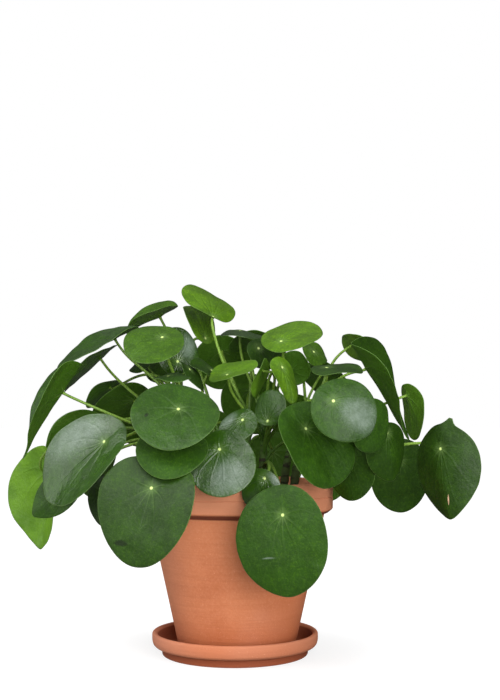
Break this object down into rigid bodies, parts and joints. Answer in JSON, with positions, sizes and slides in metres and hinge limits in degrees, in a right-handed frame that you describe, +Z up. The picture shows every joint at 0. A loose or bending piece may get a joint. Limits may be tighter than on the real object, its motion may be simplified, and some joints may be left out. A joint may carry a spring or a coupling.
{
  "type": "potted chinese money plant",
  "caption": "Chinese money plant with round peltate leaves on slim petioles, in soil in a collared terracotta pot on a terracotta saucer.",
  "frame": {"origin": "centre of the saucer's flat underside, on the surface that it stands on", "axes": "+Z up; +X to the right as seen from the front, along the foliage's widest spread; the front seen in the picture faces -Y"},
  "size_m": [0.4103, 0.2854, 0.3283],
  "materials": {
    "terracotta": "matte",
    "saucer_terracotta": "matte",
    "soil": "matte",
    "stem": "satin",
    "leaf": "satin",
    "young_leaf": "satin"
  },
  "bodies": {
    "root": {"saucer": "saucer_terracotta", "pot": "terracotta", "soil": "soil", "stem_front": "stem", "stem_left": "stem", "stem_main": "stem", "stem_right": "stem", "leaf_back_middle": "leaf", "leaf_back_top": "leaf", "leaf_behind_drape": "leaf", "leaf_behind_high": "leaf", "leaf_behind_left": "leaf", "leaf_behind_round": "leaf", "leaf_drape_left": "leaf", "leaf_drape_right": "leaf", "leaf_edge_left": "leaf", "leaf_edge_right": "leaf", "leaf_far_right": "leaf", "leaf_flat_left": "leaf", "leaf_flat_right": "leaf", "leaf_fold_right": "leaf", "leaf_front_centre": "leaf", "leaf_front_left": "leaf", "leaf_front_right": "leaf", "leaf_front_small": "leaf", "leaf_high_left": "leaf", "leaf_high_right": "young_leaf", "leaf_left": "leaf", "leaf_long_left": "leaf", "leaf_low_front": "leaf", "leaf_low_left": "leaf", "leaf_low_middle_right": "leaf", "leaf_low_right": "leaf", "leaf_middle_bright": "young_leaf", "leaf_middle_dark": "leaf", "leaf_middle_edge": "young_leaf", "leaf_middle_flat": "young_leaf", "leaf_middle_left": "leaf", "leaf_middle_right": "leaf", "leaf_middle_small": "leaf", "leaf_narrow_left": "leaf", "leaf_round_left": "leaf", "leaf_round_right": "leaf", "leaf_shade_left": "leaf", "leaf_shade_low_left": "leaf", "leaf_shade_middle_left": "leaf", "leaf_shade_right": "leaf", "leaf_small_middle": "leaf", "leaf_top": "young_leaf", "leaf_tuck_left": "leaf", "leaf_under_middle": "leaf", "leaf_under_round": "leaf", "leaf_under_top": "young_leaf", "leafy_stem_back": "leaf", "leafy_stem_back_left": "leaf", "leafy_stem_back_right": "leaf"}
  },
  "joints": []
}
